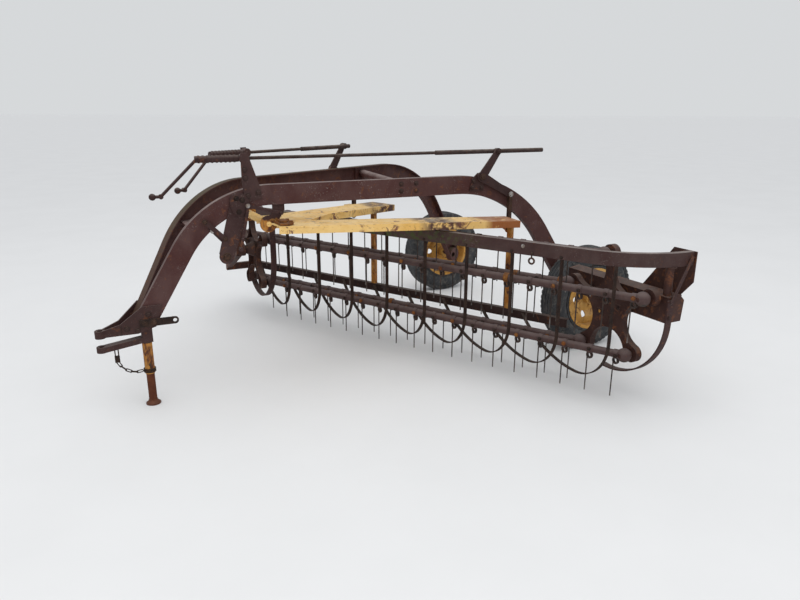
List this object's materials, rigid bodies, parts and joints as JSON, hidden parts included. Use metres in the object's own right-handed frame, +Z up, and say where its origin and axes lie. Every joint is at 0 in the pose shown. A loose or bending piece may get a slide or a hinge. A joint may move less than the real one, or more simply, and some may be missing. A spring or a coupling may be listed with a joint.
{
  "type": "rotary hay rake",
  "caption": "Towed side-delivery hay rake: arched two-wheel frame, oblique reel of parallel tooth bars with stripper straps, two crank lifts, pin hitch and parking jack.",
  "frame": {"origin": "middle of the footprint's box, on the ground", "axes": "+X to the rear, travel is towards -X; +Y to the machine's right; +Z up"},
  "size_m": [3.265, 2.9736, 1.303],
  "materials": {
    "maroon_paint": "weathered matt",
    "yellow_paint": "chipped matt",
    "orange_paint": "rusty matt",
    "rim_paint": "worn satin",
    "rusty_steel": "rusted",
    "tyre": "dusty"
  },
  "bodies": {
    "frame": {"left_beam": "maroon_paint", "right_beam": "maroon_paint", "cross_members": "maroon_paint", "hitch_upper_jaw": "maroon_paint", "hitch_lower_jaw": "rusty_steel", "hitch_chain": "rusty_steel", "bracket_bar": "rusty_steel", "jack_tube": "orange_paint", "left_crank_bracket": "maroon_paint", "right_crank_bracket": "maroon_paint", "left_crank": "rusty_steel", "right_crank": "rusty_steel", "left_lever_bracket": "maroon_paint", "right_lever_bracket": "maroon_paint", "pivot_brackets": "maroon_paint", "front_stay": "maroon_paint", "left_axle": "rusty_steel", "right_axle": "rusty_steel"},
    "jack_foot": {"jack_leg": "rusty_steel"},
    "left_wheel": {"left_rim": "rim_paint", "left_tyre": "tyre"},
    "right_wheel": {"right_rim": "rim_paint", "right_tyre": "tyre"},
    "basket": {"lift_frame": "yellow_paint", "basket_posts": "orange_paint", "top_rail": "maroon_paint", "rear_channel": "maroon_paint", "strippers": "rusty_steel", "rear_guard": "maroon_paint", "front_guard": "maroon_paint", "rear_end_frame": "maroon_paint", "front_end_frame": "maroon_paint"},
    "rear_reel_head": {"rear_head": "maroon_paint"},
    "front_reel_head": {"front_head": "maroon_paint"},
    "left_lever": {"left_lever": "maroon_paint"},
    "right_lever": {"right_lever": "maroon_paint"},
    "left_link": {"left_link": "rusty_steel"},
    "right_link": {"right_link": "rusty_steel"},
    "left_rod": {"left_rod": "rusty_steel"},
    "right_rod": {"right_rod": "rusty_steel"},
    "bar_1": {"tooth_bar_1": "maroon_paint"},
    "bar_2": {"tooth_bar_2": "maroon_paint"},
    "bar_3": {"tooth_bar_3": "maroon_paint"},
    "bar_4": {"tooth_bar_4": "maroon_paint"},
    "bar_5": {"tooth_bar_5": "maroon_paint"}
  },
  "joints": [
    {"name": "left_wheel_spin", "type": "hinge", "parent": "frame", "child": "left_wheel", "pos_m": [1.2985, -0.50985, 0.334], "axis": [0, 1, 0], "continuous": true},
    {"name": "right_wheel_spin", "type": "hinge", "parent": "frame", "child": "right_wheel", "pos_m": [1.1885, 1.13515, 0.334], "axis": [0, 1, 0], "continuous": true},
    {"name": "jack_slide", "type": "slide", "parent": "frame", "child": "jack_foot", "axis": [0, 0, 1], "range_m": [0, 0.14]},
    {"name": "basket_lift", "type": "hinge", "parent": "frame", "child": "basket", "pos_m": [-0.7315, -0.14485, 0.93], "axis": [0, -1, 0], "range_deg": [0, 4]},
    {"name": "left_lever_turn", "type": "hinge", "parent": "frame", "child": "left_lever", "pos_m": [0.54748, -0.34275, 1.13], "axis": [-0.0679, -0.9977, 0], "range_deg": [0, 27]},
    {"name": "right_lever_turn", "type": "hinge", "parent": "frame", "child": "right_lever", "pos_m": [-0.06762, 0.50279, 1.13], "axis": [0.3812, -0.9245, 0], "range_deg": [0, 16.25]},
    {"name": "left_link_swing", "type": "hinge", "parent": "left_lever", "child": "left_link", "pos_m": [0.75101, -0.35661, 1.018], "axis": [-0.0679, -0.9977, 0], "range_deg": [-34.2, 0]},
    {"name": "right_link_swing", "type": "hinge", "parent": "right_lever", "child": "right_link", "pos_m": [0.12098, 0.58055, 1.018], "axis": [0.3812, -0.9245, 0], "range_deg": [-20.94, 0]},
    {"name": "left_rod_swing", "type": "hinge", "parent": "left_lever", "child": "left_rod", "pos_m": [0.65224, -0.34988, 1.275], "axis": [-0.0679, -0.9977, 0], "range_deg": [-25.7, 0]},
    {"name": "right_rod_swing", "type": "hinge", "parent": "right_lever", "child": "right_rod", "pos_m": [0.02945, 0.54281, 1.275], "axis": [0.3812, -0.9245, 0], "range_deg": [-14.62, 0]},
    {"name": "reel_spin", "type": "hinge", "parent": "basket", "child": "rear_reel_head", "pos_m": [0.7985, -1.14485, 0.508], "axis": [1, 0, 0], "continuous": true},
    {"name": "front_head_spin", "type": "hinge", "parent": "basket", "child": "front_reel_head", "pos_m": [-0.39281, 1.14364, 0.508], "axis": [1, 0, 0], "continuous": true},
    {"name": "bar_1_turn", "type": "hinge", "parent": "rear_reel_head", "child": "bar_1", "pos_m": [0.7985, -1.40815, 0.61706], "axis": [1, 0, 0], "continuous": true},
    {"name": "bar_2_turn", "type": "hinge", "parent": "rear_reel_head", "child": "bar_2", "pos_m": [0.7985, -1.12249, 0.79212], "axis": [1, 0, 0], "continuous": true},
    {"name": "bar_3_turn", "type": "hinge", "parent": "rear_reel_head", "child": "bar_3", "pos_m": [0.7985, -0.86772, 0.57453], "axis": [1, 0, 0], "continuous": true},
    {"name": "bar_4_turn", "type": "hinge", "parent": "rear_reel_head", "child": "bar_4", "pos_m": [0.7985, -0.99594, 0.265], "axis": [1, 0, 0], "continuous": true},
    {"name": "bar_5_turn", "type": "hinge", "parent": "rear_reel_head", "child": "bar_5", "pos_m": [0.7985, -1.32994, 0.29128], "axis": [1, 0, 0], "continuous": true}
  ],
  "couplings": [
    {"joint": "left_lever_turn", "follows": "basket_lift", "ratio": 6.625},
    {"joint": "right_lever_turn", "follows": "basket_lift", "ratio": 3.937},
    {"joint": "left_link_swing", "follows": "basket_lift", "ratio": -8.426},
    {"joint": "right_link_swing", "follows": "basket_lift", "ratio": -5.11},
    {"joint": "left_rod_swing", "follows": "basket_lift", "ratio": -6.3},
    {"joint": "right_rod_swing", "follows": "basket_lift", "ratio": -3.531},
    {"joint": "front_head_spin", "follows": "reel_spin", "ratio": 1},
    {"joint": "bar_1_turn", "follows": "reel_spin", "ratio": -1},
    {"joint": "bar_2_turn", "follows": "reel_spin", "ratio": -1},
    {"joint": "bar_3_turn", "follows": "reel_spin", "ratio": -1},
    {"joint": "bar_4_turn", "follows": "reel_spin", "ratio": -1},
    {"joint": "bar_5_turn", "follows": "reel_spin", "ratio": -1}
  ]
}
